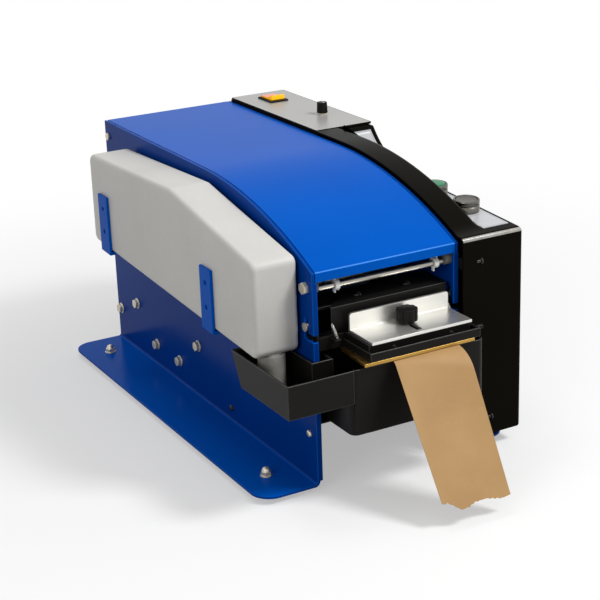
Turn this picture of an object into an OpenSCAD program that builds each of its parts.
// Gummed tape dispenser: two folded side plates carry a tape roll on cradle bars, a motor-driven
// feed roller, a rising blade, a water tray with brushes and a hinged pressure plate at the front.
// Millimetres. +Z is up, the front faces -Y, and the origin is on the bench, midway between the feet.

/* [Side plates] */
// Width over the outer faces of the two side plates
frame_w = 170; // [160:1:200]
// Length of the side plates, front to back
frame_len = 500; // [480:1:540]
// Height of the flat top of the plates and cover above the bench
top_z = 286; // [276:1:300]
// Thickness of the side plate sheet
plate_t = 3; // [2:0.5:4]
// Width of each outward foot flange, measured from the plate's outer face
flange_w = 65; // [50:1:90]
// Corner radius of the foot flanges
flange_corner_r = 22; // [8:1:30]
// Inside radius of the fold between plate and flange
fold_r = 3; // [1:0.5:6]
// Width of the return folded inwards along each plate's front edge
return_w = 6; // [4:0.5:9]

/* [Cover] */
// Length of the curved front part of the cover and plates
curve_run = 231; // [200:1:250]
// Radius of the curved front part
curve_r = 525; // [450:5:650]
// Thickness of the cover sheet
cover_t = 2; // [1:0.5:3]
// Gap between the cover's sides and the side plates
cover_gap = 1; // [0.5:0.25:2]
// Depth of the cover's front lip below its crease
cover_lip = 10; // [6:1:14]
// Depth of the cover's folded sides
cover_side = 12; // [8:1:13]
// Distance of the hinge pin in front of the plates' rear edge
hinge_inset = 9.5; // [6:0.5:12]
// Distance of the hinge pin below the flat top
hinge_drop = 18; // [14:1:24]
// Diameter of the hinge pin
hinge_pin_d = 5; // [4:0.5:6]

/* [Feet] */
// Height of the rubber feet
foot_h = 6; // [4:0.5:10]
// Diameter of the rubber feet
foot_d = 24; // [18:1:30]
// Distance of each foot's centre from the flange's outer edge
foot_inset_x = 31; // [18:1:36]
// Distance of each foot's centre from the flange's end
foot_inset_y = 47; // [20:1:60]

/* [Fasteners] */
// Thread diameter of the frame bolts and foot studs
bolt_d = 6; // [5:0.5:8]
// Width across the flats of the frame bolts' heads and the foot nuts
hex_w = 10; // [9:0.5:13]
// Height of the hexagon heads and nuts
hex_h = 4; // [3:0.5:6]
// Diameter of the washers
washer_d = 13; // [11:0.5:16]
// Thickness of the washers
washer_t = 1.2; // [0.8:0.1:2]
// Thread diameter of the small screws
screw_d = 4; // [3:0.5:5]
// Head diameter of the small screws
screw_head_d = 7.5; // [6:0.5:9]
// Head height of the small screws
screw_head_h = 2.4; // [1.5:0.1:3]

/* [Tape] */
// Width of the gummed paper tape
tape_w = 76; // [60:1:80]
// Distance of the tape's middle from the machine's middle plane
tape_x = 14; // [8:1:18]
// Thickness that stands for the paper
tape_t = 0.3; // [0.2:0.1:0.5]
// Outer diameter of the roll
roll_d = 200; // [180:1:204]
// Bore of the roll's cardboard core
core_bore = 32; // [25:1:40]
// Wall of the cardboard core
core_wall = 4; // [2:0.5:6]
// Height of the tape's underside on its way from the feed roller to the exit
tape_z = 145; // [143:0.5:150]
// Radius of the bend where the dispensed strip leaves the machine
strip_bend_r = 34; // [25:1:45]
// Angle below level at which the strip hangs
strip_angle = 61; // [45:1:75]
// Straight length of the strip below its bend
strip_drop = 122; // [40:1:122]
// Longest tooth of the torn end
strip_tear = 6; // [2:0.5:6]

/* [Roll cradle] */
// Distance of the roll's centre in front of the plates' rear edge
roll_inset = 148; // [130:1:160]
// Height of the roll's centre
roll_z = 138; // [134:1:146]
// Diameter of the cradle bars
cradle_bar_d = 16; // [12:1:20]
// Angle of the two lower bars from straight below the roll
cradle_low_angle = 17; // [12:1:24]
// Angle of the two upper bars from straight below the roll
cradle_high_angle = 51.5; // [40:0.5:58]
// Diameter of the rear tie bar
rear_bar_d = 14; // [10:1:14]
// Distance of the rear tie bar's centre from the plates' rear edge
rear_bar_inset = 11.5; // [7:0.5:12]
// Height of the rear tie bar
rear_bar_z = 49; // [40:1:60]

/* [Feed] */
// Diameter of the rubber feed roller
feed_d = 40; // [34:1:44]
// Length of the feed roller
feed_len = 90; // [80:1:100]
// Distance of the feed roller's axis behind the plates' front edge
feed_inset = 90; // [86:1:96]
// Diameter of the feed shaft
shaft_d = 10; // [8:1:12]
// Outside diameter of the shaft bushes
bush_d = 16; // [14:1:20]
// Diameter of the pinch roller
pinch_d = 22; // [18:1:26]
// Length of the pinch roller
pinch_len = 46; // [40:1:56]
// Distance of the pinch arm's pivot bar behind the feed roller's axis
pinch_pivot_back = 25; // [22:1:28]
// Height of the pinch arm's pivot bar above the tape
pinch_pivot_up = 31; // [28:1:34]
// Diameter of the guide bar and of the pinch pivot bar
bar_d = 10; // [9:0.5:12]
// Distance of the guide bar behind the feed roller's axis
guide_bar_back = 50; // [46:1:58]

/* [Gears and motor] */
// Gear module
gear_module = 1; // [0.8:0.1:1.2]
// Teeth of the gear on the feed shaft
gear_teeth = 48; // [40:1:52]
// Teeth of the motor's pinion
pinion_teeth = 16; // [14:1:20]
// Face width of the gear
gear_face = 8; // [6:0.5:9]
// Motor body diameter
motor_d = 56; // [40:1:60]
// Motor body length
motor_len = 45; // [35:1:48]

/* [Cutter] */
// Distance of the shearing line behind the plates' front edge
shear_inset = 43; // [41:0.5:46]
// Width of the blades
blade_w = 94; // [86:1:100]
// Thickness of each blade
blade_t = 2; // [1.5:0.25:3]
// Stroke of the moving blade
blade_stroke = 8; // [7:0.5:9]
// Depth of the solenoid's square frame
solenoid_w = 44; // [36:1:46]
// Height of the solenoid
solenoid_h = 30; // [26:1:32]
// Diameter of the solenoid's plunger
plunger_d = 12; // [8:1:14]

/* [Water tray] */
// Height of the tray's rim above the bench
tray_top_z = 143; // [140:0.5:143]
// Distance of the tray's front face in front of the plates
tray_reach = 44; // [40:1:50]
// Depth of the tub, rim to underside
tub_h = 69; // [50:1:72]
// Depth of the wing under the bottle
wing_h = 35; // [28:1:40]
// Width of the wing
wing_w = 50.5; // [46:0.5:54]
// Wall of the tray
tray_wall = 2.5; // [1.5:0.25:3]
// Length of the wing at its bottom
wing_len = 98; // [96:1:110]
// Extra length of the wing at its rim
wing_slant = 19; // [8:1:22]
// Distance of the tub's left side from the middle plane
tub_left = 69; // [66:1:72]
// Distance of the tub's right side from the middle plane
tub_right = 78; // [74:1:79]
// Distance of the tub's rear side behind the plates' front edge
tub_back = 28; // [25:1:29]
// Corner radius of the tub
tub_corner_r = 8; // [4:1:12]

/* [Pressure plate] */
// Distance of the pivot pins behind the plates' front edge
pivot_inset = 14; // [12:0.5:16]
// Height of the pivot pins
pivot_z = 174; // [170:0.5:178]
// Diameter of the pivot pins
pivot_d = 6; // [5:0.5:7]
// Overhang of the pressure plate in front of the side plates
press_reach = 49; // [46:1:54]
// Distance of the pressure plate's left end inside the left side plate's outer face
press_left_inset = 35; // [29:1:39]
// Distance of the pressure plate's right end inside the right side plate's outer face
press_right_inset = 7; // [5:0.5:8]
// Thickness of the pressure plate at its platform
press_t = 15; // [11:0.5:17]
// Height of the rim round the pressure plate
press_rim_h = 9; // [6:0.5:10]
// Thickness of the brass shoe
shoe_t = 3.4; // [2:0.2:4]
// Distance of the aluminium angle's left end inside the pressure plate's left end
angle_inset = 5; // [3:1:8]
// Depth of the angle's base
angle_base = 45; // [40:1:46]
// Height of the angle's upright
angle_up = 20; // [14:1:22]
// Thickness of the angle
angle_t = 3; // [2:0.5:4]
// Diameter of the clamp knob
knob_d = 22; // [20:0.5:28]
// Height of the clamp knob
knob_h = 15; // [10:1:18]

/* [Water bottle] */
// Width of the bottle, side to side
bottle_w = 49.7; // [44:0.1:56]
// Distance of the bottle's rear face in front of the plates' rear edge
bottle_back_inset = 75; // [60:1:90]
// Distance of the bottle's front face behind the plates' front edge
bottle_front_inset = 21; // [18:1:24]
// Height of the bottle's top at the rear
bottle_back_z = 269; // [262:1:272]
// Height of the kink in the bottle's top
bottle_kink_z = 278; // [274:1:280]
// Distance of the kink behind the bottle's front face
bottle_kink_run = 184; // [160:1:200]
// Height of the bottle's top at the front
bottle_front_z = 245; // [238:1:250]
// Height of the bottle's underside at the front
bottle_low_z = 146.3; // [146:0.1:149]
// Rise of the bottle's underside from front to rear
bottle_rise = 19.2; // [10:0.2:24]
// Wall of the bottle
bottle_wall = 1.8; // [1.2:0.2:2.4]
// Corner radius of the bottle's outline
bottle_corner_r = 12; // [8:1:16]
// Diameter of the cap on the bottle's neck
bottle_cap_d = 28; // [24:1:32]
// Width of the two bottle straps
strap_w = 25; // [20:1:30]
// Thickness of the bottle straps
strap_t = 3; // [2:0.5:3.5]
// Height of the strap above the underside of the bottle
strap_h = 66; // [50:1:80]

/* [Housing] */
// Width of the housing
housing_w = 74.7; // [68:0.1:80]
// Reach of the housing in front of the side plates
housing_reach = 8; // [4:1:9]
// Height of the housing's underside
housing_low_z = 16; // [14:1:20]
// Wall of the housing
housing_wall = 2.5; // [1.5:0.25:3]
// How far the band beside the cover stands above it
band_proud = 4; // [2:0.5:6]
// Width of the band beside the cover
band_w = 33; // [28:1:38]
// Height of the button deck at the housing's front edge
button_deck_z = 238; // [234:1:242]
// Slope of the button deck
button_deck_slope = 3; // [1:0.5:4]
// Radius of the curve that rises to the control panel
riser_r = 102; // [90:1:110]
// Distance of the control panel's front edge from the plates' rear edge
panel_len = 216; // [200:1:222]
// Thickness of the control panel
panel_t = 2.5; // [1.5:0.25:3]
// Thickness of the label plate
label_t = 0.8; // [0.5:0.1:1.2]
// Width of the label plate
label_w = 31; // [30:0.5:33]

/* [Controls] */
// Outside diameter of the push buttons' bezels
bezel_d = 28; // [26:0.5:30]
// Height of the bezels above the deck
bezel_h = 14; // [10:0.5:16]
// Diameter of the push buttons' caps
cap_d = 23; // [20:0.5:24]
// Travel of the push buttons
button_travel = 4; // [2:0.5:5]
// Distance of the front button behind the housing's front face
front_button_run = 68; // [60:1:76]
// Spacing of the two push buttons
button_pitch = 59; // [50:1:64]
// Length of the rocker switch's bezel
rocker_len = 34; // [30:0.5:38]
// Width of the rocker switch's bezel
rocker_w = 25; // [22:0.5:28]
// Tilt of the rocker at rest
rocker_tilt = 9; // [6:0.5:10]
// Distance of the rocker switch in front of the plates' rear edge
rocker_inset = 43; // [40:1:60]
// Diameter of the dial's knob
dial_d = 13; // [11:0.5:16]
// Height of the dial's knob
dial_h = 15; // [10:0.5:18]
// Distance of the dial in front of the plates' rear edge
dial_inset = 150; // [140:1:160]

/* [Clearances] */
// Radial clearance of shafts and pins in their bores
run_clear = 0.05; // [0.02:0.01:0.08]
// Gap between pieces that lie next to each other without touching
seat_gap = 0.3; // [0.2:0.05:0.4]
// Gap between the two blades where they pass
blade_clear = 0.05; // [0.03:0.01:0.1]
// Radial clearance of bolts in their holes
bolt_clear = 0.2; // [0.1:0.05:0.4]

/* [Hidden] */
$fn = 64;
arc_fn = 360;
eps = 0.01;
half_w = frame_w / 2;
inner_x = half_w - plate_t;
front_y = -frame_len / 2;
rear_y = frame_len / 2;
deck_z = foot_h + plate_t;
curve_y = front_y + curve_run;
curve_z = top_z - curve_r;
foot_x = half_w + flange_w - foot_inset_x;
foot_y = rear_y - foot_inset_y;
hinge_y = rear_y - hinge_inset;
hinge_z = top_z - hinge_drop;
lip_z = crown(front_y) - cover_lip;
rod_d = 6;
rod_y = front_y + 12;
rod_z = lip_z - 7.5;
rod_drop = 3;
spacer_d = 14;
spacer_len = 8;
nut_h = 5;

roll_y = rear_y - roll_inset;
cradle_r = (roll_d + cradle_bar_d) / 2 + seat_gap;
feed_y = front_y + feed_inset;
feed_z = tape_z - seat_gap - feed_d / 2;
web_top = tape_z + tape_t;
pinch_z = web_top + seat_gap + pinch_d / 2;
pinch_bar_y = feed_y + pinch_pivot_back;
pinch_bar_z = tape_z + pinch_pivot_up;
guide_y = feed_y + guide_bar_back;
guide_z = web_top + seat_gap + bar_d / 2;
shear_y = front_y + shear_inset;
strip_rear_y = shear_y - 7.5;
strip_exit_y = front_y - press_reach + 3;
blade_rest_z = tape_z - 2;

gear_gap = gear_module * (gear_teeth + pinion_teeth) / 2;
gear_angle = -30;
motor_y = feed_y + gear_gap * cos(gear_angle);
motor_z = feed_z + gear_gap * sin(gear_angle);
gear_x = half_w + 7;
motor_plate_x = gear_x + gear_face + 2.5;
motor_plate_t = 2;

tray_front_y = front_y - tray_reach;
tray_wing_x = half_w + 3.5;
wing_out_x = tray_wing_x + wing_w;
tray_back_y = front_y + tub_back;
tub_z = tray_top_z - tub_h;
wing_z = tray_top_z - wing_h;
brush_z = tape_z - seat_gap;

pivot_y = front_y + pivot_inset;
press_left = half_w - press_left_inset;
press_right = half_w - press_right_inset;
platform_right = press_right - 7;
press_front_y = front_y - press_reach;
press_back_y = front_y + 3.5;
shoe_z = web_top + seat_gap;
press_z = shoe_z + shoe_t;
platform_z = press_z + press_t;
knob_y = front_y - 15;
angle_left = angle_inset - press_left;
arm_x = inner_x - 3.5;
arm_t = 2;

bottle_x = half_w + strap_t + seat_gap;
bottle_front_y = front_y + bottle_front_inset;
bottle_back_y = rear_y - bottle_back_inset;
bottle_len = bottle_back_y - bottle_front_y;
neck_y = bottle_front_y + bottle_cap_d / 2 + 1;
strap_out_x = bottle_x + bottle_w + seat_gap;

side_x = half_w + seat_gap;
box_x = side_x + housing_w;
box_front_y = front_y - housing_reach;
box_back_y = rear_y - 2;
box_top_z = top_z + 2;
band_x = side_x + band_w;
panel_y = rear_y - panel_len;
edge_r = 6;
deck_rise = tan(button_deck_slope);
button_x = (band_x + box_x) / 2 - 3;
rocker_y = rear_y - rocker_inset - 1;
rocker_x = (side_x + box_x) / 2;
dial_y = rear_y - dial_inset;
dial_x = rocker_x + 9;

steel = [0.72, 0.73, 0.75];
dark = [0.10, 0.10, 0.11];
blue = [0.05, 0.30, 0.75];
white = [0.88, 0.88, 0.85];

// Height of the cover's surface at a distance y from the middle
function crown(y) = y > curve_y ? top_z : curve_z + sqrt(curve_r * curve_r - (y - curve_y) * (y - curve_y));

// Points of an arc about c, from angle a to angle b
function arc(c, r, a, b, n = 12) =
    [for (i = [0:n]) c + r * [cos(a + (b - a) * i / n), sin(a + (b - a) * i / n)]];

// Both sides of a sheet of thickness t along a path of [y, z, direction] entries
function side_of(path, t) = [for (p = path) [p[0] - t * sin(p[2]), p[1] + t * cos(p[2])]];
function ribbon(path, t) = concat(side_of(path, 0), reversed(side_of(path, t)));
function reversed(list) = [for (i = [len(list) - 1:-1:0]) list[i]];

// Points of a polygon whose corners are rounded with radius r
function unit(v) = v / norm(v);
function corner(p, q, s, r) =
    let (u = unit(p - q), v = unit(s - q), half = acos(u * v) / 2,
        c = q + unit(u + v) * r / sin(half), a = c - (q + u * r / tan(half)),
        b = c - (q + v * r / tan(half)), a0 = atan2(-a[1], -a[0]), b0 = atan2(-b[1], -b[0]),
        turn = b0 - a0 > 180 ? b0 - a0 - 360 : b0 - a0 < -180 ? b0 - a0 + 360 : b0 - a0)
    arc(c, r, a0, a0 + turn, 8);
function rounded(points, r) = [for (i = [0:len(points) - 1], p = corner(points[(i + len(points) - 1)
    % len(points)], points[i], points[(i + 1) % len(points)], r)) p];

// Involute gear outline with teeth thinned by the backlash
function inv(a) = tan(a) * 180 / PI - a;
function flank(r, base) = r <= base ? 0 : inv(acos(base / r));
function gear_outline(teeth, backlash) =
    let (pitch = gear_module * teeth / 2, base = pitch * cos(20), tip = pitch + 0.9 * gear_module,
        root = pitch - 1.2 * gear_module, half = (90 - backlash) / teeth + inv(20),
        radii = [for (i = [0:6]) max(root, base) + (tip - max(root, base)) * i / 6])
    [for (k = [0:teeth - 1], p = concat([[root, -half]], [for (r = radii) [r, flank(r, base) - half]],
        [for (r = reversed(radii)) [r, half - flank(r, base)]], [[root, half]]))
        p[0] * [cos(p[1] + k * 360 / teeth), sin(p[1] + k * 360 / teeth)]];

// A (y, z) outline drawn out by w along X from x
module along_x(x, w) {
    translate([x, 0, 0]) rotate([90, 0, 90]) linear_extrude(w) children();
}

// A cylinder along X
module x_rod(x, w, y, z, d) {
    translate([x, y, z]) rotate([0, 90, 0]) cylinder(h = w, d = d);
}

// A hexagonal head along X
module x_hex(x, w, y, z, size) {
    translate([x, y, z]) rotate([0, 90, 0]) cylinder(h = w, d = size / cos(30), $fn = 6);
}

// A box between two opposite corners
module box(low, high) {
    translate(low) cube(high - low);
}

// The (y, z) area under the cover's surface, lowered by drop
module crown_area(low_y, high_y, low_z, drop) {
    if (high_y > curve_y)
        translate([curve_y, low_z]) square([high_y - curve_y, top_z - drop - low_z]);
    intersection() {
        translate([curve_y, curve_z]) circle(r = curve_r - drop, $fn = arc_fn);
        translate([low_y, low_z]) square([min(high_y, curve_y) - low_y + eps, top_z]);
    }
}

// The bars between the plates: [y, z, diameter]. Hexagon bolts hold the cradle and rear bars,
// small screws hold the two slim bars behind the bottle
cradle_angles = [-cradle_high_angle, -cradle_low_angle, cradle_low_angle, cradle_high_angle];
BARS = concat(
    [for (a = cradle_angles) [roll_y + cradle_r * sin(a), roll_z - cradle_r * cos(a), cradle_bar_d]],
    [[rear_y - rear_bar_inset, rear_bar_z, rear_bar_d]]);
SLIM_BARS = [[guide_y, guide_z, bar_d], [pinch_bar_y, pinch_bar_z, bar_d]];
bolt_grip = 12;

// Small screws along X through both side plates: [y, z]
deck_screw_y = front_y + 189;
deck_screw_z = 23;
rail_screw_y = front_y + 14;
rail_screw_z = 60;
bed_screw_z = tape_z - 9;
beam_screw_y = shear_y + 7;
BEAM_SCREW_Z = [160, 178];
bed_screw_y = feed_y - 28;
SIDE_SCREWS = concat(SLIM_BARS, [[deck_screw_y, deck_screw_z], [rail_screw_y, rail_screw_z],
    [bed_screw_y, bed_screw_z]], [for (z = BEAM_SCREW_Z) [beam_screw_y, z]]);
STRAP_Y = [bottle_front_y + 99.5, bottle_back_y - 40.5];

module slot_cut() {
    slot_w = pivot_d + 1;
    entry_z = pivot_z - 9.5;
    hook_z = pivot_z + 10;
    along_x(-half_w - 1, frame_w + 2) {
        translate([front_y - 1, entry_z - slot_w / 2]) square([pivot_inset + 1, slot_w]);
        translate([pivot_y, entry_z]) circle(d = slot_w);
        translate([pivot_y - slot_w / 2, entry_z]) square([slot_w, hook_z - entry_z - slot_w / 2]);
        translate([pivot_y, hook_z - slot_w / 2]) circle(d = slot_w);
    }
}

// Left plate; the right one is its mirror image
module side_plate_sheet() {
    outer_r = fold_r + plate_t;
    difference() {
        union() {
            along_x(-half_w, plate_t) crown_area(front_y, rear_y, foot_h + outer_r, 0);
            box([-half_w, front_y, foot_h + outer_r],
                [-half_w + return_w, front_y + plate_t, lip_z - seat_gap]);
            translate([-half_w - fold_r, rear_y, foot_h + outer_r]) rotate([90, 0, 0])
                linear_extrude(frame_len) intersection() {
                    difference() {
                        circle(r = outer_r);
                        circle(r = fold_r);
                    }
                    translate([0, -outer_r]) square(outer_r);
                }
            translate([0, 0, foot_h]) linear_extrude(plate_t) flange_shape();
        }
        slot_cut();
        for (b = BARS) x_rod(-half_w - 1, plate_t + 2, b[0], b[1], bolt_d + 2 * bolt_clear);
        for (s = SIDE_SCREWS) x_rod(-half_w - 1, plate_t + 2, s[0], s[1], screw_d + 2 * bolt_clear);
        x_rod(-half_w - 1, plate_t + 2, rod_y, rod_z, rod_d + 2 * run_clear);
        x_rod(-half_w - 1, plate_t + 2, hinge_y, hinge_z, hinge_pin_d + 2 * run_clear);
        x_rod(-half_w - 1, plate_t + 2, feed_y, feed_z, bush_d + 2 * run_clear);
        for (y = [-foot_y, foot_y]) translate([-foot_x, y, 0])
            cylinder(h = deck_z + 1, d = bolt_d + 2 * bolt_clear);
    }
}

module flange_shape() {
    inner = -half_w - fold_r;
    outer = -half_w - flange_w;
    c = flange_corner_r;
    polygon(concat([[inner, rear_y]], arc([outer + c, rear_y - c], c, 90, 180),
        arc([outer + c, front_y + c], c, 180, 270), [[inner, front_y]]));
}

module left_side_plate() {
    color(blue) difference() {
        side_plate_sheet();
        for (y = STRAP_Y, s = [-1, 1]) x_rod(-half_w - 1, plate_t + 2, y + s * strap_w / 4, strap_screw_z(y),
            screw_d + 2 * bolt_clear);
    }
}

module right_side_plate() {
    color(blue) difference() {
        mirror([1, 0, 0]) side_plate_sheet();
        for (p = MOTOR_POSTS) x_rod(half_w - plate_t - 1, plate_t + 2, p[0], p[1], screw_d + 2 * bolt_clear);
    }
}

module rubber_feet() {
    stud_z = foot_h / 2;
    color(dark) for (x = [-foot_x, foot_x], y = [-foot_y, foot_y]) translate([x, y, 0])
        difference() {
            cylinder(h = foot_h, d1 = foot_d - 2, d2 = foot_d);
            translate([0, 0, stud_z]) cylinder(h = foot_h, d = bolt_d + 2 * run_clear);
        }
}

module foot_studs() {
    stud_z = foot_h / 2 + run_clear;
    dome_h = 5;
    color(steel) for (x = [-foot_x, foot_x], y = [-foot_y, foot_y]) translate([x, y, 0]) {
        translate([0, 0, stud_z]) cylinder(h = deck_z + washer_t + hex_h - stud_z + 1, d = bolt_d);
        translate([0, 0, deck_z]) cylinder(h = washer_t, d = washer_d);
        translate([0, 0, deck_z + washer_t]) cylinder(h = hex_h, d = hex_w / cos(30), $fn = 6);
        translate([0, 0, deck_z + washer_t + hex_h]) intersection() {
            sphere(d = hex_w - 1);
            cylinder(h = dome_h, d = hex_w);
        }
    }
}

module frame_bolts() {
    color(steel) for (s = [-1, 1]) {
        for (b = BARS) mirror([s > 0 ? 1 : 0, 0, 0]) {
            x_rod(-half_w - washer_t, washer_t, b[0], b[1], washer_d);
            x_hex(-half_w - washer_t - hex_h, hex_h, b[0], b[1], hex_w);
            x_rod(-half_w - washer_t, plate_t + washer_t + bolt_grip, b[0], b[1], bolt_d);
        }
        mirror([s > 0 ? 1 : 0, 0, 0]) difference() {
            x_hex(-half_w - nut_h, nut_h, rod_y, rod_z, hex_w + 1);
            x_rod(-half_w - nut_h + 1.5, nut_h, rod_y, rod_z, rod_d + 2 * run_clear);
        }
    }
}

module cross_bars() {
    color(steel) {
        for (b = BARS) difference() {
            x_rod(-inner_x, 2 * inner_x, b[0], b[1], b[2]);
            for (s = [-1, 1]) x_rod(s * inner_x - bolt_grip - 1, 2 * bolt_grip + 2, b[0], b[1],
                bolt_d + 2 * run_clear);
            for (x = [-panel_screw_x, panel_screw_x]) translate([x, rear_y, rear_bar_z]) rotate([90, 0, 0])
                cylinder(h = panel_screw_len + 1, d = screw_d + 2 * run_clear);
        }
        for (b = SLIM_BARS) difference() {
            x_rod(-inner_x, 2 * inner_x, b[0], b[1], b[2]);
            for (s = [-1, 1]) x_rod(s * inner_x - bolt_grip, 2 * bolt_grip, b[0], b[1],
                screw_d + 2 * run_clear);
        }
    }
}

module front_rod() {
    rod_end = half_w + nut_h - 1.6;
    color(steel) {
        x_rod(2 - inner_x, 2 * inner_x - 4, rod_y, rod_z - rod_drop, rod_d);
        for (m = [0, 1]) mirror([m, 0, 0]) difference() {
            union() {
                x_rod(-inner_x, spacer_len, rod_y, rod_z, spacer_d);
                x_rod(-rod_end, rod_end - inner_x + 1, rod_y, rod_z, rod_d);
            }
            x_rod(2 - run_clear - inner_x, spacer_len, rod_y, rod_z - rod_drop, rod_d + 2 * run_clear);
        }
    }
}

// A collar on the front rod with two thin legs, each between two heights from the rod's axis
module guide(x, legs) {
    collar_d = 11;
    collar_w = 5;
    leg_t = 1.4;
    leg_w = 4;
    low_rod_z = rod_z - rod_drop;
    color(white) difference() {
        union() {
            x_rod(x, collar_w, rod_y, low_rod_z, collar_d);
            for (i = [0, 1])
                translate([x + i * (collar_w - leg_t), rod_y - leg_w / 2, low_rod_z + legs[i][0]])
                    cube([leg_t, leg_w, legs[i][1] - legs[i][0]]);
        }
        x_rod(x - 1, collar_w + 2, rod_y, low_rod_z, rod_d + 2 * run_clear);
    }
}

module guide_left() {
    guide(31 - half_w, [[-8, 8], [-6, 0]]);
}

module guide_right() {
    guide(half_w - 23.5, [[-8.5, 0], [-5, 8]]);
}

module top_cover() {
    cover_x = inner_x - cover_gap;
    side_t = 1.5;
    lug_r = 8;
    color(blue) difference() {
        union() {
            along_x(-cover_x, 2 * cover_x) difference() {
                crown_area(front_y, rear_y, lip_z, 0);
                difference() {
                    crown_area(front_y - 1, rear_y + 1, 0, cover_t);
                    for (y = [front_y, rear_y - cover_t]) translate([y, 0]) square([cover_t, 2 * top_z]);
                }
                translate([rear_y - cover_t - 1, 0]) square([cover_t + 2, top_z - cover_side]);
            }
            for (x = [-cover_x, cover_x - side_t]) along_x(x, side_t) {
                difference() {
                    crown_area(front_y, rear_y, lip_z, 0);
                    crown_area(front_y - 1, rear_y + 1, 0, cover_side);
                }
                translate([hinge_y, hinge_z]) circle(r = lug_r - 1);
                translate([hinge_y - lug_r, hinge_z]) square([2 * lug_r - 2, hinge_drop - cover_t]);
            }
        }
        x_rod(-cover_x - 1, 2 * cover_x + 2, hinge_y, hinge_z, hinge_pin_d + 2 * run_clear);
    }
}

module hinge_pins() {
    head_t = 2.5;
    pin_len = plate_t + cover_gap + 4;
    color(steel) for (s = [0, 1]) mirror([s, 0, 0]) {
        x_rod(-half_w - head_t, head_t, hinge_y, hinge_z, hinge_pin_d + 4);
        x_rod(-half_w, pin_len, hinge_y, hinge_z, hinge_pin_d);
    }
}

// The rear panel is screwed to the rear tie bar from behind
panel_screw_x = 50;
panel_screw_len = rear_bar_inset;
module rear_panel() {
    sheet_t = 1.5;
    low_z = 20;
    panel_h = top_z - 38 - low_z;
    side = inner_x - seat_gap;
    color(dark) difference() {
        union() {
            box([-side, rear_y - sheet_t, low_z], [side, rear_y, low_z + panel_h]);
            for (x = [-side, side - sheet_t]) box([x, rear_y - cover_side, rear_bar_z + rear_bar_d],
                [x + sheet_t, rear_y, low_z + panel_h]);
            for (x = [-panel_screw_x, panel_screw_x]) translate([x, rear_y - sheet_t / 2, rear_bar_z])
                rotate([90, 0, 0]) cylinder(h = rear_bar_inset - rear_bar_d / 2 - sheet_t / 2, d =
                    screw_d + 5);
        }
        for (x = [-panel_screw_x, panel_screw_x]) translate([x, rear_y + 1, rear_bar_z]) rotate([90, 0, 0])
            cylinder(h = panel_screw_len, d = screw_d + 2 * run_clear);
    }
}

module deck_plate() {
    sheet_t = 2;
    side = inner_x - seat_gap;
    back = deck_screw_y + 16;
    low_z = solenoid_z - sheet_t;
    tongue = solenoid_w / 2 + 6;
    color(dark) difference() {
        union() {
            box([-side, front_y + 70, low_z], [side, back, solenoid_z]);
            box([tape_x - tongue, plunger_y - solenoid_w / 2, low_z], [tape_x + tongue, back, solenoid_z]);
            for (x = [-side, side - sheet_t])
                box([x, deck_screw_y - 16, deck_screw_z - 9], [x + sheet_t, back, solenoid_z]);
        }
        x_rod(-half_w, frame_w, deck_screw_y, deck_screw_z, screw_d + 2 * run_clear);
    }
}

module machine_screws() {
    reach = 6;
    color(steel) {
        for (s = SIDE_SCREWS, m = [0, 1]) mirror([m, 0, 0]) {
            x_rod(-half_w - screw_head_h, screw_head_h, s[0], s[1], screw_head_d);
            x_rod(-half_w, plate_t + reach, s[0], s[1], screw_d);
        }
        for (y = STRAP_Y, s = [-1, 1]) {
            x_rod(-inner_x, screw_head_h, y + s * strap_w / 4, strap_screw_z(y), screw_head_d);
            x_rod(-half_w - strap_t, plate_t + strap_t, y + s * strap_w / 4, strap_screw_z(y), screw_d);
        }
        for (p = MOTOR_POSTS) {
            x_rod(inner_x - screw_head_h, screw_head_h, p[0], p[1], screw_head_d);
            x_rod(inner_x, plate_t + reach, p[0], p[1], screw_d);
        }
        for (x = [-panel_screw_x, panel_screw_x]) translate([x, rear_y, rear_bar_z]) rotate([90, 0, 0]) {
            translate([0, 0, -screw_head_h]) cylinder(h = screw_head_h, d = screw_head_d);
            cylinder(h = panel_screw_len, d = screw_d);
        }
        for (x = GUARD_SCREW_X) translate([x, guard_screw_y, guard_top_z]) {
            cylinder(h = screw_head_h, d = screw_head_d);
            translate([0, 0, -reach / 2]) cylinder(h = reach / 2 + 1, d = screw_d);
        }
        for (p = HOUSING_SCREWS) translate([p[0], box_front_y, p[1]]) rotate([90, 0, 0]) {
            cylinder(h = screw_head_h, d = screw_head_d);
            translate([0, 0, -reach + 1]) cylinder(h = reach, d = screw_d);
        }
    }
}

module tape_core() {
    core_d = core_bore + 2 * core_wall;
    color([0.62, 0.48, 0.33]) difference() {
        x_rod(tape_x - tape_w / 2, tape_w, roll_y, roll_z, core_d);
        x_rod(tape_x - tape_w / 2 - 1, tape_w + 2, roll_y, roll_z, core_bore);
    }
}

module tape_roll() {
    core_d = core_bore + 2 * core_wall;
    color([0.80, 0.62, 0.40]) difference() {
        x_rod(tape_x - tape_w / 2, tape_w, roll_y, roll_z, roll_d);
        x_rod(tape_x - tape_w / 2 - 1, tape_w + 2, roll_y, roll_z, core_d + 2 * run_clear);
    }
}

// The tape comes off the top of the roll, turns under the guide bar and runs level to the blade
bend_r = bar_d / 2 + seat_gap + tape_t;
roll_r = roll_d / 2 + seat_gap;
span = [roll_y - guide_y, roll_z - guide_z];
web_angle = atan2(span[1], span[0]) + asin((bend_r + roll_r) / norm(span));
WEB_PATH = concat([[shear_y + 0.8, tape_z, 0]],
    [for (i = [0:6]) let (a = web_angle * i / 6) [guide_y + bend_r * sin(a), guide_z - bend_r * cos(a), a]],
    [[roll_y - roll_r * sin(web_angle), roll_z + roll_r * cos(web_angle), web_angle]]);

module tape_web() {
    color([0.80, 0.62, 0.40]) along_x(tape_x - tape_w / 2, tape_w) polygon(ribbon(WEB_PATH, tape_t));
}

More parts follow.
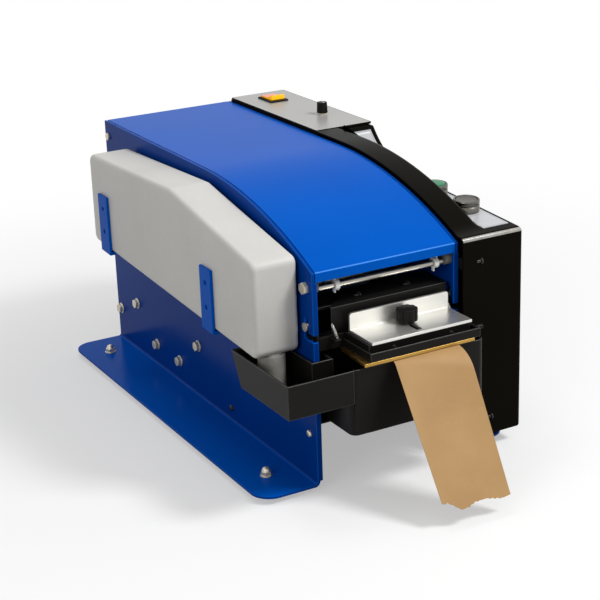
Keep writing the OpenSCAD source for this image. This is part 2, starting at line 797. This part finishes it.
// The cut strip lies on the brushes, bends over the front and hangs clear of the bench
strip_run = strip_drop + strip_tear;
strip_end = [strip_exit_y - strip_bend_r * sin(strip_angle) - strip_run * cos(strip_angle),
    tape_z - strip_bend_r * (1 - cos(strip_angle)) - strip_run * sin(strip_angle)];
STRIP_PATH = concat([[strip_rear_y, tape_z, 0]],
    [for (i = [0:8]) let (a = strip_angle * i / 8)
        [strip_exit_y - strip_bend_r * sin(a), tape_z - strip_bend_r * (1 - cos(a)), a]],
    [[strip_end[0], strip_end[1], strip_angle]]);

module tape_strip() {
    left = tape_x - tape_w / 2;
    tip_x = left + 0.3 * tape_w;
    over = 2;
    color([0.80, 0.62, 0.40]) difference() {
        along_x(left, tape_w) polygon(ribbon(STRIP_PATH, tape_t));
        translate([0, strip_end[0], strip_end[1]]) rotate([strip_angle, 0, 0])
            translate([0, 0, -over]) linear_extrude(2 * over + tape_t)
                polygon([[left - over, strip_tear], [tip_x, 0], [left + tape_w + over, strip_tear],
                    [left + tape_w + over, -over], [left - over, -over]]);
    }
}

module tape_bed() {
    bed_t = 2;
    side = inner_x - seat_gap;
    rear = feed_y - 11;
    color(steel) difference() {
        union() {
            box([-side, shear_y + 0.5, tape_z - seat_gap - bed_t], [side, rear, tape_z - seat_gap]);
            for (x = [-side, side - bed_t])
                box([x, shear_y + 0.5, bed_screw_z - 6], [x + bed_t, rear, tape_z - seat_gap]);
        }
        x_rod(-half_w, frame_w, bed_screw_y, bed_screw_z, screw_d + 2 * run_clear);
    }
}

module feed_shaft() {
    color(steel) x_rod(-half_w - 1, half_w + gear_x + gear_face, feed_y, feed_z, shaft_d);
}

module feed_roller() {
    color([0.15, 0.15, 0.15]) difference() {
        x_rod(tape_x - feed_len / 2, feed_len, feed_y, feed_z, feed_d);
        x_rod(tape_x - feed_len / 2 - 1, feed_len + 2, feed_y, feed_z, shaft_d + 2 * run_clear);
    }
}

module shaft_bushes() {
    lip_t = 2;
    lip_d = bush_d + 5;
    color([0.70, 0.55, 0.25]) for (m = [0, 1]) mirror([m, 0, 0]) difference() {
        union() {
            x_rod(-half_w, plate_t, feed_y, feed_z, bush_d);
            x_rod(-inner_x, lip_t, feed_y, feed_z, lip_d);
        }
        x_rod(-half_w - 1, plate_t + lip_t + 2, feed_y, feed_z, shaft_d + 2 * run_clear);
    }
}

gear_backlash = 3;
module feed_gear() {
    hub_d = shaft_d + 10;
    color([0.85, 0.82, 0.72]) difference() {
        union() {
            translate([gear_x, feed_y, feed_z]) rotate([90, 0, 90]) linear_extrude(gear_face)
                rotate(gear_angle) polygon(gear_outline(gear_teeth, gear_backlash));
            x_rod(gear_x - 3, 4, feed_y, feed_z, hub_d);
        }
        x_rod(gear_x - 4, gear_face + 6, feed_y, feed_z, shaft_d + 2 * run_clear);
    }
}

motor_shaft_d = 6;
module motor_pinion() {
    color(steel) {
        translate([gear_x - 1, motor_y, motor_z]) rotate([90, 0, 90]) linear_extrude(gear_face + 2)
            rotate(gear_angle + 180 + 180 / pinion_teeth) polygon(gear_outline(pinion_teeth, gear_backlash));
        x_rod(gear_x + gear_face, motor_plate_x + 12 - gear_x - gear_face, motor_y, motor_z, motor_shaft_d);
    }
}

module motor() {
    boss_d = 18;
    body_x = motor_plate_x + motor_plate_t;
    color([0.35, 0.36, 0.38]) difference() {
        union() {
            x_rod(body_x, motor_len, motor_y, motor_z, motor_d);
            x_rod(motor_plate_x - 0.5, motor_plate_t + 1, motor_y, motor_z, boss_d);
        }
        x_rod(motor_plate_x - 1, 16, motor_y, motor_z, motor_shaft_d + 2 * run_clear);
    }
}

post_d = 8;
MOTOR_POSTS = [for (dy = [-56, 42], dz = [-20, 46]) [motor_y + dy, motor_z + dz]];
module motor_plate() {
    margin = post_d / 2 + 3;
    reach = 8;
    boss_hole = 19;
    low = MOTOR_POSTS[0] - [margin, margin];
    high = MOTOR_POSTS[3] + [margin, margin];
    color(steel) difference() {
        union() {
            box([motor_plate_x, low[0], low[1]], [motor_plate_x + motor_plate_t, high[0], high[1]]);
            for (p = MOTOR_POSTS) x_rod(half_w, motor_plate_x - half_w + eps, p[0], p[1], post_d);
        }
        x_rod(motor_plate_x - 1, motor_plate_t + 2, motor_y, motor_z, boss_hole);
        for (p = MOTOR_POSTS) x_rod(half_w - 1, reach + 1, p[0], p[1], screw_d + 2 * run_clear);
    }
}

// The arm is carried by a bar across the frame and lets the pinch roller rest on the tape
axle_d = 6;
arm_gap = pinch_len + 1;
module pinch_arm() {
    sheet_t = 2;
    boss_r = 8;
    tie_t = 2;
    tie = [(feed_y + pinch_bar_y) / 2 - boss_r * 0.6, (pinch_z + pinch_bar_z) / 2 + boss_r * 0.8];
    color(steel) difference() {
        union() {
            for (x = [-arm_gap / 2 - sheet_t, arm_gap / 2]) along_x(tape_x + x, sheet_t) {
                translate([pinch_bar_y, pinch_bar_z]) circle(r = boss_r);
                translate([feed_y, pinch_z]) circle(r = boss_r);
                polygon([[pinch_bar_y + boss_r * 0.6, pinch_bar_z - boss_r * 0.8],
                    [pinch_bar_y - boss_r * 0.6,
                    pinch_bar_z + boss_r * 0.8], [feed_y - boss_r * 0.6, pinch_z + boss_r * 0.8],
                    [feed_y + boss_r * 0.6, pinch_z - boss_r * 0.8]]);
            }
            translate([tape_x - arm_gap / 2 - 1, tie[0], tie[1]])
                rotate([atan2(pinch_bar_z - pinch_z, pinch_pivot_back), 0, 0])
                    translate([0, -boss_r / 2, -1.5 * tie_t]) cube([arm_gap + 2, boss_r, tie_t]);
        }
        x_rod(-half_w, frame_w, pinch_bar_y, pinch_bar_z, bar_d + 2 * run_clear);
        x_rod(-half_w, frame_w, feed_y, pinch_z, axle_d + 2 * run_clear);
    }
}

module pinch_roller() {
    axle_len = arm_gap + 8;
    color([0.2, 0.2, 0.2]) {
        x_rod(tape_x - pinch_len / 2, pinch_len, feed_y, pinch_z, pinch_d);
        x_rod(tape_x - axle_len / 2, axle_len, feed_y, pinch_z, axle_d);
    }
}

beam_low_z = 150;
beam_top_z = 188;
beam_t = 10;
flange_t = 3;
guard_y = front_y + 8;
guard_t = 2;
guard_top_z = beam_top_z + guard_t;
guard_screw_y = guard_y + 18;
GUARD_SCREW_X = [-19, 39];

module cutter_beam() {
    side = inner_x;
    face_y = shear_y + blade_t + 2 * blade_clear;
    color(dark) difference() {
        union() {
            box([-side, face_y, beam_low_z], [side, face_y + beam_t, beam_top_z]);
            box([-side + 2, guard_y + 12, beam_top_z - flange_t], [side - 2, face_y + 1, beam_top_z]);
        }
        for (z = BEAM_SCREW_Z) x_rod(-half_w, frame_w, beam_screw_y, z, screw_d + 2 * run_clear);
        for (x = GUARD_SCREW_X) translate([x, guard_screw_y, 0])
            cylinder(h = top_z, d = screw_d + 2 * run_clear);
    }
}

module cutter_guard() {
    left = left_spring_x + 0.5;
    right = arm_x - arm_t - 1;
    low_z = pivot_z - 22;
    rear_left = -20;
    rear_right = 57;
    depth = 38;
    color(dark) difference() {
        union() {
            box([left, guard_y, low_z], [right, guard_y + guard_t, guard_top_z]);
            translate([0, guard_y, beam_top_z]) linear_extrude(guard_t) polygon([[left, 0], [right, 0],
                [right, 4], [rear_right, depth], [rear_left, depth], [left, 4]]);
        }
        for (x = GUARD_SCREW_X) translate([x, guard_screw_y, 0])
            cylinder(h = top_z, d = screw_d + 2 * run_clear);
    }
}

module fixed_blade() {
    blade_h = 20;
    color(steel) box([tape_x - blade_w / 2, shear_y + blade_clear, tape_z + 1],
        [tape_x + blade_w / 2, shear_y + blade_clear + blade_t, tape_z + 1 + blade_h]);
}

module moving_blade() {
    edge_drop = 3;
    low_z = blade_rest_z - 24;
    color(steel) translate([0, shear_y, 0]) rotate([90, 0, 0]) linear_extrude(blade_t)
        polygon([[tape_x - blade_w / 2, low_z], [tape_x + blade_w / 2, low_z],
            [tape_x + blade_w / 2, blade_rest_z - edge_drop], [tape_x - blade_w / 2, blade_rest_z]]);
}

carrier_y = shear_y - blade_t - 4;
plunger_y = carrier_y + 2;
solenoid_z = tub_z - 1 - solenoid_h;
module blade_carrier() {
    carrier_t = 4;
    low_z = blade_rest_z - 47;
    foot_t = 4;
    color([0.5, 0.5, 0.52]) {
        box([tape_x - blade_w / 2, carrier_y, low_z],
            [tape_x + blade_w / 2, carrier_y + carrier_t, blade_rest_z - 6]);
        translate([tape_x, plunger_y, solenoid_z + solenoid_h / 2 + 4])
            cylinder(h = low_z + foot_t - solenoid_z - solenoid_h / 2 - 4, d = plunger_d);
    }
}

module solenoid() {
    color([0.45, 0.30, 0.15]) difference() {
        box([tape_x - solenoid_w / 2, plunger_y - solenoid_w / 2, solenoid_z],
            [tape_x + solenoid_w / 2, plunger_y + solenoid_w / 2, solenoid_z + solenoid_h]);
        translate([tape_x, plunger_y, solenoid_z + solenoid_h / 2 - 6])
            cylinder(h = solenoid_h, d = plunger_d + 2 * run_clear);
    }
}

// Plan outline of the tub, shrunk by i; it widens to the right in front of the plates
tub_nose_x = half_w + 2;
tub_nose_y = box_front_y - 4;
function tub_plan(i) = rounded([[-tub_left + i, tray_front_y + i], [tub_nose_x - i, tray_front_y + i],
    [tub_nose_x - i, tub_nose_y - i], [tub_right - i, tub_nose_y - i], [tub_right - i, tray_back_y - i],
    [-tub_left + i, tray_back_y - i]], tub_corner_r - i);

// Side outline of the wing, shrunk by i
function wing_side(i) = let (rear_y = tray_front_y + wing_len - i, rim_z = tray_top_z + (i > 0 ? 1 : 0))
    [[tray_front_y + i, wing_z + i], [rear_y, wing_z + i], [rear_y + wing_slant, rim_z],
    [tray_front_y + i, rim_z]];

module water_tray() {
    color(dark) difference() {
        union() {
            translate([0, 0, tub_z]) linear_extrude(tub_h) polygon(tub_plan(0));
            along_x(-wing_out_x, wing_w) polygon(wing_side(0));
            box([-tray_wing_x - 1, tray_front_y, wing_z], [-tub_left + 3, front_y - 3, tray_top_z]);
        }
        translate([0, 0, tub_z + tray_wall]) linear_extrude(tub_h) polygon(tub_plan(tray_wall));
        along_x(-wing_out_x + tray_wall, wing_w - 2 * tray_wall) polygon(wing_side(tray_wall));
        box([-tray_wing_x - 4, tray_front_y + tray_wall, wing_z + tray_wall], [-tub_left + 4,
            front_y - 3 - tray_wall, tray_top_z + 1]);
    }
}

brush_pitch = 15;
module brushes() {
    brush_t = 11;
    block_h = 34;
    brush_w = tape_w + 6;
    first_y = tray_front_y + 14;
    color([0.25, 0.22, 0.20]) for (i = [0:2]) {
        box([tape_x - brush_w / 2, first_y + i * brush_pitch - brush_t / 2, tub_z + tray_wall],
            [tape_x + brush_w / 2, first_y + i * brush_pitch + brush_t / 2, tub_z + tray_wall + block_h]);
        box([tape_x - brush_w / 2 + 1, first_y + i * brush_pitch - brush_t / 2 + 1,
            tub_z + tray_wall + block_h],
            [tape_x + brush_w / 2 - 1, first_y + i * brush_pitch + brush_t / 2 - 1, brush_z]);
    }
}

HOUSING_SCREWS = [[half_w + 21, lip_z - 12], [half_w + 35, 35.5]];
module side_brackets() {
    sheet_t = 2;
    rail_reach = 22;
    tab_h = 12;
    rail_z = tub_z - seat_gap;
    tab_y = box_front_y + housing_wall;
    color(steel) {
        for (m = [0, 1]) mirror([m, 0, 0]) difference() {
            union() {
                box([-inner_x, front_y + 4, rail_screw_z - 6],
                    [-inner_x + sheet_t, tray_back_y + 2, rail_z]);
                box([-inner_x, front_y + 4, rail_z - sheet_t],
                    [-inner_x + rail_reach, tray_back_y + 2, rail_z]);
            }
            x_rod(-half_w, plate_t + 8, rail_screw_y, rail_screw_z, screw_d + 2 * run_clear);
        }
        for (p = HOUSING_SCREWS) difference() {
            union() {
                box([half_w, tab_y, p[1] - tab_h / 2],
                    [p[0] + tab_h / 2, tab_y + sheet_t, p[1] + tab_h / 2]);
                box([half_w, tab_y, p[1] - tab_h / 2], [half_w + sheet_t, front_y + 4, p[1] + tab_h / 2]);
            }
            translate([p[0], front_y, p[1]]) rotate([90, 0, 0])
                cylinder(h = 20, d = screw_d + 2 * run_clear);
        }
    }
}

module press_arms() {
    cross_t = 2;
    low_z = press_z + 0.5;
    high_z = platform_z - 0.5;
    boss_r = 7;
    lug_z = spring_low_z(0) - 3.5;
    color(dark) difference() {
        union() {
            box([-arm_x, press_back_y, low_z], [arm_x, press_back_y + cross_t, high_z]);
            box([SPRINGS[0][0] - 3, spring_low_y - 2, lug_z],
                [SPRINGS[0][0] + 3, press_back_y + 1, lug_z + 2]);
            for (x = [-arm_x, arm_x - arm_t]) along_x(x, arm_t) {
                translate([pivot_y, pivot_z]) circle(r = boss_r);
                polygon([[press_back_y, low_z], [press_back_y + cross_t, low_z],
                    [pivot_y + boss_r * 0.8, pivot_z - boss_r * 0.6],
                    [pivot_y - boss_r * 0.8, pivot_z + boss_r * 0.6], [press_back_y, high_z]]);
            }
        }
        x_rod(-half_w, frame_w, pivot_y, pivot_z, pivot_d + 2 * run_clear);
    }
}

stud_x = (angle_left + platform_right) / 2;
module press_pins() {
    head_t = 2;
    color(steel) {
        for (m = [0, 1]) mirror([m, 0, 0]) {
            x_rod(-half_w - head_t - seat_gap, head_t, pivot_y, pivot_z, pivot_d + 3);
            x_rod(-half_w - head_t, half_w + head_t - arm_x + arm_t + 1, pivot_y, pivot_z, pivot_d);
        }
        translate([stud_x, knob_y, press_z + 4]) cylinder(h = press_t + angle_t + knob_h - 6, d = bolt_d);
    }
}

module press_plate() {
    floor_t = 3;
    rim_t = 2.5;
    rib_t = 2.5;
    platform_front = press_front_y + 8;
    lug_z = spring_low_z(1) - 1.5;
    color(dark) difference() {
        union() {
            box([-press_left, press_front_y, press_z], [press_right, press_back_y, press_z + floor_t]);
            difference() {
                box([-press_left, press_front_y, press_z],
                    [press_right, press_back_y, press_z + press_rim_h]);
                box([-press_left + rim_t, press_front_y + rim_t, press_z + floor_t],
                    [press_right - rim_t, press_back_y + 1, press_z + press_rim_h + 1]);
            }
            box([-press_left + 3, platform_front, press_z], [platform_right, press_back_y, platform_z]);
            box([SPRINGS[1][0] - 1.5, spring_low_y - 2, press_z],
                [SPRINGS[1][0] + 1.5, spring_low_y + 2, lug_z]);
            for (x = [-press_left * 0.4, press_right * 0.6]) box([x, press_front_y + 1, press_z],
                [x + rib_t, platform_front + 1, press_z + press_rim_h]);
            x_rod(press_right - 1, 6, press_front_y + 5, press_z + press_rim_h - 1, 5);
        }
        translate([stud_x, knob_y, press_z + 4 - run_clear])
            cylinder(h = press_t, d = bolt_d + 2 * run_clear);
    }
}

module brass_shoe() {
    left = press_left + 7;
    right = press_right - 7;
    color([0.72, 0.53, 0.15]) translate([0, 0, shoe_z]) linear_extrude(shoe_t)
        polygon([[-left, press_front_y], [right, press_front_y], [right, press_back_y],
            [-left + 4, press_back_y]]);
}

module weight_angle() {
    slot_w = bolt_d + 0.6;
    front = press_front_y + 5;
    rear = front + angle_base;
    low_z = platform_z + run_clear;
    slot_front = front + 5 + slot_w / 2;
    slot_rear = knob_y + 1;
    color([0.80, 0.81, 0.82]) difference() {
        union() {
            box([angle_left, front, low_z], [platform_right, rear, platform_z + angle_t]);
            box([angle_left, rear - angle_t, low_z], [platform_right, rear, platform_z + angle_up]);
        }
        for (y = [slot_front, slot_rear]) translate([stud_x, y, platform_z - 1])
            cylinder(h = angle_t + 2, d = slot_w);
        box([stud_x - slot_w / 2, slot_front, platform_z - 1],
            [stud_x + slot_w / 2, slot_rear, platform_z + angle_t + 1]);
    }
}

module clamp_knob() {
    low_z = platform_z + angle_t + seat_gap;
    color(dark) difference() {
        translate([stud_x, knob_y, low_z]) {
            cylinder(h = 2, d = knob_d - 6);
            translate([0, 0, 2]) cylinder(h = knob_h - 2, d = knob_d);
        }
        translate([stud_x, knob_y, low_z - 1]) cylinder(h = knob_h - 1, d = bolt_d + 2 * run_clear);
    }
}

// Two springs slant from the guard down to the pressure plate: [x, height of the upper end]
left_spring_x = -press_left - 10.5;
SPRINGS = [[left_spring_x, pivot_z], [platform_right + 2.5, pivot_z - 2.2]];
spring_d = 3.6;
spring_high_y = guard_y - 1.9;
spring_low_y = spring_high_y - 10.1;
spring_drop = 11;
function spring_low_z(i) = SPRINGS[i][1] - spring_drop;

module press_springs() {
    run = spring_high_y - spring_low_y;
    slant = 180 - atan2(run, spring_drop);
    color(steel) for (p = SPRINGS) translate([p[0], spring_high_y, p[1]]) rotate([slant, 0, 0])
        cylinder(h = norm([run, spring_drop]), d = spring_d);
}

// Side outline of the bottle, shrunk by i
function bottle_outline(i) = rounded([[bottle_front_y + i, bottle_low_z + i],
    [bottle_back_y - i, bottle_low_z + bottle_rise + i], [bottle_back_y - i, bottle_back_z - i],
    [bottle_front_y + bottle_kink_run, bottle_kink_z - i], [bottle_front_y + i, bottle_front_z - i]],
    bottle_corner_r - i);
function bottle_under(y) = bottle_low_z + bottle_rise * (y - bottle_front_y) / bottle_len;
neck_d = bottle_cap_d - 6;
neck_bore = neck_d - 4;
neck_drop = 24;
neck_x = -(bottle_x + bottle_w / 2);

module water_bottle() {
    color(white) difference() {
        union() {
            along_x(-bottle_x - bottle_w, bottle_w) polygon(bottle_outline(0));
            translate([neck_x, neck_y, bottle_low_z - neck_drop]) cylinder(h = neck_drop + 4, d = neck_d);
        }
        along_x(-bottle_x - bottle_w + bottle_wall, bottle_w - 2 * bottle_wall)
            polygon(bottle_outline(bottle_wall));
        translate([neck_x, neck_y, bottle_low_z - neck_drop - 1]) cylinder(h = neck_drop + 6, d = neck_bore);
    }
}

module bottle_cap() {
    cap_low = wing_z + tray_wall + 1.7;
    cap_high = bottle_low_z - seat_gap;
    slot_w = 6;
    cap_t = 2;
    color(white) difference() {
        translate([neck_x, neck_y, cap_low]) cylinder(h = cap_high - cap_low, d = bottle_cap_d);
        translate([neck_x, neck_y, cap_low + cap_t]) cylinder(h = cap_high, d = neck_d + 2 * run_clear);
        translate([neck_x, neck_y, cap_low + cap_t]) rotate([0, 0, -30]) box([-slot_w / 2, -bottle_cap_d, 0],
            [slot_w / 2, 0, bottle_low_z - neck_drop - cap_low - cap_t]);
    }
}

function strap_screw_z(y) = bottle_under(y) + 8;
module bottle_straps() {
    hole_d = 5;
    tab_h = 14;
    color(blue) for (y = STRAP_Y) {
        low = y - strap_w / 2;
        high = y + strap_w / 2;
        z0 = bottle_under(low) - seat_gap;
        z1 = bottle_under(high) - seat_gap;
        difference() {
            union() {
                along_x(-strap_out_x - strap_t, strap_out_x + strap_t - half_w)
                    polygon([[low, z0 - strap_t], [high, z1 - strap_t], [high, z1], [low, z0]]);
                along_x(-strap_out_x - strap_t, strap_t)
                    polygon([[low, z0 - strap_t], [high, z1 - strap_t], [high, z0 + strap_h],
                        [low, z0 + strap_h]]);
                along_x(-half_w - strap_t, strap_t)
                    polygon([[low, z0 - strap_t], [high, z1 - strap_t], [high, z0 + tab_h],
                        [low, z0 + tab_h]]);
            }
            for (dz = [strap_h - 16, strap_h * 0.35])
                x_rod(-strap_out_x - strap_t - 1, strap_t + 2, y, z0 + dz, hole_d);
            for (s = [-1, 1])
                x_rod(-half_w - strap_t - 1, strap_t + 2, y + s * strap_w / 4, strap_screw_z(y),
                    screw_d + 2 * run_clear);
        }
    }
}

// Side outline of the housing's low part, shrunk by i: front, button deck, riser and flat rear
deck_edge_z = button_deck_z + edge_r * (1 / cos(button_deck_slope) - 1);
function deck_line(y) = deck_edge_z + deck_rise * (y - box_front_y - edge_r);
riser_y = panel_y - 81;
riser_z = deck_line(riser_y);
riser_c = [riser_y - riser_r * sin(button_deck_slope), riser_z + riser_r * cos(button_deck_slope)];
riser_n = 16;
function riser_top(i) = -asin((riser_c[1] - box_top_z + i) / (riser_r + i));
function box_side(i) = concat([[box_front_y + i, housing_low_z + i], [box_back_y - i, housing_low_z + i],
    [box_back_y - i, box_top_z - i]],
    arc(riser_c, riser_r + i, riser_top(i), button_deck_slope - 90, riser_n),
    arc([box_front_y + edge_r, button_deck_z - edge_r], edge_r - i, 90 + button_deck_slope, 180, 6));

// The band beside the cover follows the cover's curve
module band_area(i) {
    intersection() {
        translate([curve_y, curve_z]) circle(r = curve_r + band_proud - i, $fn = arc_fn);
        translate([box_front_y + i, housing_low_z + i]) square([curve_y - box_front_y - i, 2 * top_z]);
    }
    translate([curve_y - eps, housing_low_z + i])
        square([panel_y - curve_y - i, top_z + band_proud - housing_low_z - 2 * i]);
}

barrel_d = cap_d - 1;
BUTTON_Y = [box_front_y + front_button_run, box_front_y + front_button_run + button_pitch];
module at_button(y) {
    translate([button_x, y, deck_line(y)]) rotate([button_deck_slope, 0, 0]) children();
}

rocker_well = [rocker_w / 2 - 3.2, rocker_len / 2 - 2];
dial_bush_d = 7;
INLET = [[box_x - 53, 50], [box_x - 25, 74]];
module housing() {
    open_x = side_x - 1;
    nut_hole = hex_w + 6;
    cut = rocker_well + [1.1, 1.1];
    color(dark) difference() {
        union() {
            along_x(side_x, housing_w) polygon(box_side(0));
            along_x(side_x, band_w) band_area(0);
        }
        along_x(open_x, housing_w + 1 - housing_wall) polygon(box_side(housing_wall));
        along_x(open_x, band_w + 1 - housing_wall) band_area(housing_wall);
        for (y = BUTTON_Y) at_button(y) translate([0, 0, -10])
            cylinder(h = 20, d = barrel_d + 2 * bolt_clear);
        box([rocker_x - cut[0], rocker_y - cut[1], box_top_z - 9],
            [rocker_x + cut[0], rocker_y + cut[1], top_z + 9]);
        translate([dial_x, dial_y, top_z - 9]) cylinder(h = 20, d = dial_bush_d + 2 * bolt_clear);
        box([INLET[0][0], box_back_y - 9, INLET[0][1]], [INLET[1][0], rear_y, INLET[1][1]]);
        for (p = HOUSING_SCREWS) translate([p[0], front_y, p[1]]) rotate([90, 0, 0])
            cylinder(h = 20, d = screw_d + 2 * run_clear);
        for (y = [-foot_y, foot_y]) translate([foot_x, y, 0]) cylinder(h = housing_low_z + 9, d = nut_hole);
    }
}

module control_panel() {
    cut = rocker_well + [1.1, 1.1];
    color([0.62, 0.63, 0.65]) difference() {
        translate([0, 0, box_top_z]) linear_extrude(panel_t)
            polygon(rounded([[side_x, panel_y], [box_x, panel_y],
            [box_x, box_back_y], [side_x, box_back_y]], 3));
        box([rocker_x - cut[0], rocker_y - cut[1], box_top_z - 1],
            [rocker_x + cut[0], rocker_y + cut[1], top_z + 9]);
        translate([dial_x, dial_y, top_z - 9]) cylinder(h = 20, d = dial_bush_d + 2 * bolt_clear);
    }
}

module label_plate() {
    left = button_x - label_w / 2;
    front = box_front_y + 15;
    step = (riser_top(0) - button_deck_slope + 90) / riser_n;
    path = concat([[front, deck_line(front), button_deck_slope]], [for (i = [0:riser_n - 1])
        let (a = button_deck_slope - 90 + i * step)
        [riser_c[0] + riser_r * cos(a), riser_c[1] + riser_r * sin(a), a + 90]]);
    color(white) difference() {
        translate([0, 0, run_clear]) along_x(left, label_w) polygon(ribbon(path, label_t));
        for (y = BUTTON_Y) at_button(y) translate([0, 0, -10])
            cylinder(h = 20, d = barrel_d + 2 * bolt_clear);
    }
}

rocker_pin_d = 3;
rocker_z = box_top_z + panel_t + 0.5;
module rocker_body() {
    bezel_t = 2;
    low_z = box_top_z - 22;
    top = box_top_z + panel_t;
    outer = rocker_well + [1, 1];
    color(dark) difference() {
        union() {
            box([rocker_x - rocker_w / 2, rocker_y - rocker_len / 2, top],
                [rocker_x + rocker_w / 2, rocker_y + rocker_len / 2, top + bezel_t]);
            box([rocker_x - outer[0], rocker_y - outer[1], low_z],
                [rocker_x + outer[0], rocker_y + outer[1], top + 1]);
        }
        box([rocker_x - rocker_well[0], rocker_y - rocker_well[1], rocker_z - 9],
            [rocker_x + rocker_well[0], rocker_y + rocker_well[1], top + 9]);
        x_rod(rocker_x - outer[0] - 1, 2 * outer[0] + 2, rocker_y, rocker_z, rocker_pin_d + 2 * run_clear);
    }
}

module rocker() {
    half_len = rocker_well[1] - 1.2;
    half_wide = rocker_well[0] - 0.3;
    color([0.95, 0.55, 0.05]) translate([0, rocker_y, rocker_z]) rotate([-rocker_tilt, 0, 0]) {
        along_x(rocker_x - half_wide, 2 * half_wide)
            polygon([[-half_len, 5.5], [-half_len, 0], [-4, -5], [4, -5],
            [half_len, 0], [half_len, 5.5], [0, 3.5]]);
        x_rod(rocker_x - half_wide - 1.1, 2 * half_wide + 2.2, 0, 0, rocker_pin_d);
    }
}

dial_shaft_d = 6;
module dial_knob() {
    low_z = box_top_z + panel_t + 2 + seat_gap;
    top = box_top_z + panel_t + dial_h;
    color(dark) translate([dial_x, dial_y, 0]) difference() {
        translate([0, 0, low_z]) cylinder(h = top - low_z, d = dial_d);
        translate([0, 0, low_z - 1]) cylinder(h = top - low_z - 1, d = dial_shaft_d + 2 * run_clear);
    }
}

module potentiometer() {
    body_d = 16;
    body_h = 9;
    under = box_top_z - housing_wall;
    top = box_top_z + panel_t;
    color(steel) translate([dial_x, dial_y, 0]) {
        translate([0, 0, under - body_h]) cylinder(h = body_h, d = body_d);
        translate([0, 0, under - 1]) cylinder(h = top + 2 - under + 1, d = dial_bush_d);
        translate([0, 0, top]) cylinder(h = 2, d = dial_bush_d + 4, $fn = 6);
        translate([0, 0, top]) cylinder(h = dial_h - 4, d = dial_shaft_d);
    }
}

stem_d = 8;
cap_low = 2 + button_travel;
module button_bodies() {
    barrel_len = 30;
    block = [24, 20, 28];
    color(steel) for (y = BUTTON_Y) at_button(y) difference() {
        union() {
            translate([0, 0, label_t + 2 * run_clear]) cylinder(h = bezel_h - label_t, d = bezel_d);
            translate([0, 0, -barrel_len]) cylinder(h = barrel_len + label_t + 1, d = barrel_d);
            translate([0, 0, -housing_wall - 4]) cylinder(h = 4 - run_clear, d = bezel_d);
            translate([-block[0] / 2, -block[1] / 2, -barrel_len - block[2]]) cube(block);
        }
        translate([0, 0, 1.5]) cylinder(h = bezel_h, d = cap_d + 2 * bolt_clear);
        translate([0, 0, -barrel_len + 8]) cylinder(h = barrel_len, d = stem_d + 2 * run_clear);
    }
}

module button_cap(y) {
    top = bezel_h + 1;
    at_button(y) {
        translate([0, 0, cap_low]) cylinder(h = top - cap_low, d = cap_d);
        translate([0, 0, -15]) cylinder(h = 16 + cap_low, d = stem_d);
    }
}

module grey_cap() {
    color([0.25, 0.25, 0.27]) button_cap(BUTTON_Y[0]);
}

module green_cap() {
    color([0.05, 0.60, 0.30]) button_cap(BUTTON_Y[1]);
}

module control_board() {
    board_x = half_w + 12;
    board_t = 1.6;
    low = [panel_y + 26, 120];
    high = [panel_y + 156, 230];
    inset = 6;
    color([0.05, 0.35, 0.15]) {
        box([board_x, low[0], low[1]], [board_x + board_t, high[0], high[1]]);
        for (y = [low[0] + inset, high[0] - inset], z = [low[1] + inset, high[1] - inset])
            x_rod(half_w, 12 + eps, y, z, 7);
        for (i = [0:2]) box([board_x + board_t - eps, low[0] + 20 + i * 36, low[1] + 20],
            [board_x + board_t + 16, low[0] + 42 + i * 36, low[1] + 48]);
    }
}

module mains_inlet() {
    depth = 22;
    wall = 2;
    lip = 4;
    color(dark) {
        difference() {
            union() {
                box([INLET[0][0] + seat_gap, box_back_y - depth, INLET[0][1] + seat_gap],
                    [INLET[1][0] - seat_gap, rear_y, INLET[1][1] - seat_gap]);
                box([INLET[0][0] - lip, box_back_y, INLET[0][1] - lip],
                    [INLET[1][0] + lip, rear_y, INLET[1][1] + lip]);
            }
            box([INLET[0][0] + wall, box_back_y - depth + wall, INLET[0][1] + wall],
                [INLET[1][0] - wall, rear_y + 1, INLET[1][1] - wall]);
        }
        for (p = [[-7, -3], [0, 3], [7, -3]]) translate([(INLET[0][0] + INLET[1][0]) / 2 + p[0],
            box_back_y - 3, (INLET[0][1] + INLET[1][1]) / 2 + p[1]]) rotate([90, 0, 0])
                cylinder(h = depth - 4, d = 3);
    }
}

left_side_plate();
right_side_plate();
rubber_feet();
foot_studs();
frame_bolts();
cross_bars();
front_rod();
guide_left();
guide_right();
top_cover();
hinge_pins();
rear_panel();
deck_plate();
machine_screws();
tape_core();
tape_roll();
tape_web();
tape_strip();
tape_bed();
feed_shaft();
feed_roller();
shaft_bushes();
feed_gear();
motor_pinion();
motor();
motor_plate();
pinch_arm();
pinch_roller();
cutter_beam();
cutter_guard();
fixed_blade();
moving_blade();
blade_carrier();
solenoid();
water_tray();
brushes();
side_brackets();
press_arms();
press_pins();
press_plate();
brass_shoe();
weight_angle();
clamp_knob();
press_springs();
water_bottle();
bottle_cap();
bottle_straps();
housing();
control_panel();
label_plate();
rocker_body();
rocker();
dial_knob();
potentiometer();
button_bodies();
green_cap();
grey_cap();
control_board();
mains_inlet();
